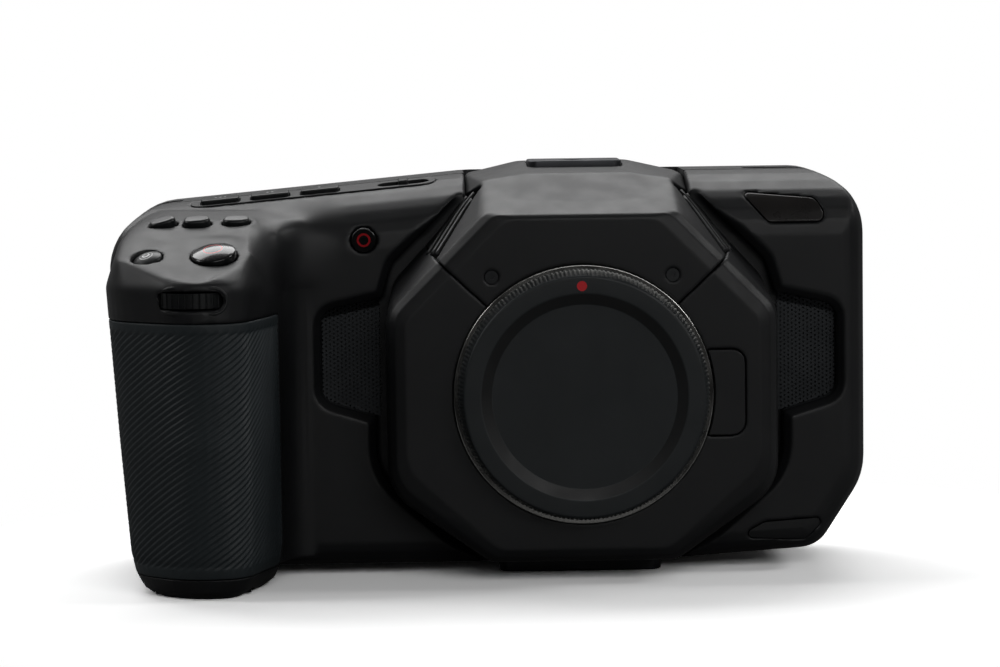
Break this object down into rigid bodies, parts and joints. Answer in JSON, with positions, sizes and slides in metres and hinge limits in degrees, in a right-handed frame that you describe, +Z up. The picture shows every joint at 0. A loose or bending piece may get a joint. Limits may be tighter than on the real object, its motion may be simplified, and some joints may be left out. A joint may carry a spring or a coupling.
{
  "type": "digital cinema camera",
  "caption": "Hand-held digital cinema camera body with a grip, a capped round bayonet lens mount, a hump with microphone ports, a rear screen and hinged doors over the sockets.",
  "frame": {"origin": "centre of the mouth of the tripod thread, in the flat base below the lens axis", "axes": "+Z up, -Y the way the lens looks, +X to the port side, which is to the right for someone who faces the lens mount"},
  "size_m": [0.1766, 0.0858, 0.0964],
  "materials": {
    "housing": "fine textured matte black",
    "rubber": "soft touch rubber",
    "cap_plastic": "satin black",
    "buttons": "gloss black",
    "trim": "moulded black",
    "window": "smoked clear plastic over a lamp",
    "ring_steel": "turned stainless steel",
    "screws": "black oxide",
    "frame_metal": "cast and machined",
    "sheet": "perforated sheet, painted",
    "lugs": "painted metal",
    "connectors": "plated shells",
    "boards": "solder mask",
    "glass": "polished",
    "panel": "display panel",
    "battery_case": "moulded case"
  },
  "bodies": {
    "camera": {"front_shell": "housing", "rear_shell": "housing", "top_cover": "housing", "mount_surround": "housing", "grip_cover": "rubber", "grip_foot": "housing", "thumb_pad": "rubber", "front_plug": "housing", "mount_ring": "ring_steel", "mount_screws": "screws", "surround_screws": "screws", "shell_screws": "screws", "contact_block": "trim", "inner_frame": "frame_metal", "sensor_board": "boards", "sensor_glass": "glass", "grilles": "sheet", "mic_ports": "trim", "tally_window": "window", "function_inlay": "buttons", "top_thread_plate": "frame_metal", "tripod_plate": "frame_metal", "lcd_glass": "glass", "lcd_panel": "panel", "main_board": "boards", "heat_sink": "frame_metal", "fan_housing": "trim", "battery_well": "trim", "battery": "battery_case", "card_slots": "frame_metal", "port_board": "boards", "port_sockets": "connectors", "strap_lugs": "lugs"},
    "body_cap": {"body_cap": "cap_plastic"},
    "release_button": {"release_button": "buttons"},
    "lock_pin": {"lock_pin": "ring_steel"},
    "record_button": {"record_button": "buttons"},
    "stills_button": {"stills_button": "buttons"},
    "iso_button": {"iso_button": "buttons"},
    "shutter_button": {"shutter_button": "buttons"},
    "balance_button": {"balance_button": "buttons"},
    "function_button_1": {"function_button_1": "buttons"},
    "function_button_2": {"function_button_2": "buttons"},
    "function_button_3": {"function_button_3": "buttons"},
    "front_record_button": {"front_record_button": "buttons"},
    "power_switch": {"power_switch": "buttons"},
    "control_wheel": {"control_wheel": "buttons"},
    "battery_door": {"battery_door": "housing"},
    "battery_latch": {"battery_latch": "buttons"},
    "card_door": {"card_door": "housing"},
    "audio_door": {"audio_door": "housing"},
    "video_door": {"video_door": "housing"},
    "power_door": {"power_door": "housing"},
    "iris_button": {"iris_button": "buttons"},
    "focus_button": {"focus_button": "buttons"},
    "frame_rate_button": {"frame_rate_button": "buttons"},
    "zoom_button": {"zoom_button": "buttons"},
    "menu_button": {"menu_button": "buttons"},
    "play_button": {"play_button": "buttons"},
    "fan_rotor": {"fan_rotor": "trim"}
  },
  "joints": [
    {"name": "cap_pull", "type": "slide", "parent": "camera", "child": "body_cap", "axis": [0, -1, 0], "range_m": [0, 0.06]},
    {"name": "release_press", "type": "slide", "parent": "camera", "child": "release_button", "axis": [0, 1, 0], "range_m": [0, 0.0012], "stiffness_N_per_m": 300, "springref_m": -0.001},
    {"name": "lock_pin_slide", "type": "slide", "parent": "camera", "child": "lock_pin", "axis": [0, 1, 0], "range_m": [0, 0.0012], "stiffness_N_per_m": 300, "springref_m": -0.001},
    {"name": "record_press", "type": "slide", "parent": "camera", "child": "record_button", "axis": [0.1135, 0.3632, -0.9247], "range_m": [0, 0.0007], "stiffness_N_per_m": 300, "springref_m": -0.001},
    {"name": "stills_press", "type": "slide", "parent": "camera", "child": "stills_button", "axis": [0.2724, 0.3633, -0.891], "range_m": [0, 0.0007], "stiffness_N_per_m": 300, "springref_m": -0.001},
    {"name": "iso_press", "type": "slide", "parent": "camera", "child": "iso_button", "axis": [0.2313, 0.2924, -0.9279], "range_m": [0, 0.0006], "stiffness_N_per_m": 300, "springref_m": -0.001},
    {"name": "shutter_press", "type": "slide", "parent": "camera", "child": "shutter_button", "axis": [0.0667, 0.2924, -0.954], "range_m": [0, 0.0006], "stiffness_N_per_m": 300, "springref_m": -0.001},
    {"name": "balance_press", "type": "slide", "parent": "camera", "child": "balance_button", "axis": [0.0167, 0.2924, -0.9562], "range_m": [0, 0.0006], "stiffness_N_per_m": 300, "springref_m": -0.001},
    {"name": "function_press_1", "type": "slide", "parent": "camera", "child": "function_button_1", "axis": [0.0889, 0, -0.996], "range_m": [0, 0.0005], "stiffness_N_per_m": 300, "springref_m": -0.001},
    {"name": "function_press_2", "type": "slide", "parent": "camera", "child": "function_button_2", "axis": [0.0889, 0, -0.996], "range_m": [0, 0.0005], "stiffness_N_per_m": 300, "springref_m": -0.001},
    {"name": "function_press_3", "type": "slide", "parent": "camera", "child": "function_button_3", "axis": [0.0889, 0, -0.996], "range_m": [0, 0.0005], "stiffness_N_per_m": 300, "springref_m": -0.001},
    {"name": "front_record_press", "type": "slide", "parent": "camera", "child": "front_record_button", "axis": [0, 1, 0], "range_m": [0, 0.0005], "stiffness_N_per_m": 300, "springref_m": -0.001},
    {"name": "power_slide", "type": "slide", "parent": "camera", "child": "power_switch", "axis": [0.996, 0, 0.0889], "range_m": [-0.0035, 0.0035]},
    {"name": "wheel_turn", "type": "hinge", "parent": "camera", "child": "control_wheel", "pos_m": [-0.0877, -0.0407, 0.068], "axis": [0, 0, 1], "continuous": true},
    {"name": "battery_door_hinge", "type": "hinge", "parent": "camera", "child": "battery_door", "pos_m": [-0.07645, -0.0352, 0.0003], "axis": [0, -1, 0], "range_deg": [0, 95]},
    {"name": "battery_latch_slide", "type": "slide", "parent": "battery_door", "child": "battery_latch", "axis": [1, 0, 0], "range_m": [0, 0.0016], "stiffness_N_per_m": 300, "springref_m": -0.001},
    {"name": "card_door_hinge", "type": "hinge", "parent": "camera", "child": "card_door", "pos_m": [-0.1071, 0.0108, 0.044], "axis": [-0.0785, 0, 0.9969], "range_deg": [0, 100]},
    {"name": "audio_door_hinge", "type": "hinge", "parent": "camera", "child": "audio_door", "pos_m": [0.0674, 0.0108, 0.0695], "axis": [0, 0, -1], "range_deg": [0, 100]},
    {"name": "video_door_hinge", "type": "hinge", "parent": "camera", "child": "video_door", "pos_m": [0.0674, 0.0108, 0.052], "axis": [0, 0, -1], "range_deg": [0, 100]},
    {"name": "power_door_hinge", "type": "hinge", "parent": "camera", "child": "power_door", "pos_m": [0.0674, 0.0108, 0.0345], "axis": [0, 0, -1], "range_deg": [0, 100]},
    {"name": "iris_press", "type": "slide", "parent": "camera", "child": "iris_button", "axis": [0, -1, 0], "range_m": [0, 0.0007], "stiffness_N_per_m": 300, "springref_m": -0.001},
    {"name": "focus_press", "type": "slide", "parent": "camera", "child": "focus_button", "axis": [0, -1, 0], "range_m": [0, 0.0007], "stiffness_N_per_m": 300, "springref_m": -0.001},
    {"name": "frame_rate_press", "type": "slide", "parent": "camera", "child": "frame_rate_button", "axis": [0, -1, 0], "range_m": [0, 0.0007], "stiffness_N_per_m": 300, "springref_m": -0.001},
    {"name": "zoom_press", "type": "slide", "parent": "camera", "child": "zoom_button", "axis": [0, -1, 0], "range_m": [0, 0.0007], "stiffness_N_per_m": 300, "springref_m": -0.001},
    {"name": "menu_press", "type": "slide", "parent": "camera", "child": "menu_button", "axis": [0, -1, 0], "range_m": [0, 0.0007], "stiffness_N_per_m": 300, "springref_m": -0.001},
    {"name": "play_press", "type": "slide", "parent": "camera", "child": "play_button", "axis": [0, -1, 0], "range_m": [0, 0.0007], "stiffness_N_per_m": 300, "springref_m": -0.001},
    {"name": "fan_spin", "type": "hinge", "parent": "camera", "child": "fan_rotor", "pos_m": [0, 0.013, 0.044], "axis": [0, 1, 0], "continuous": true}
  ],
  "couplings": [
    {"joint": "lock_pin_slide", "follows": "release_press", "ratio": 1}
  ]
}
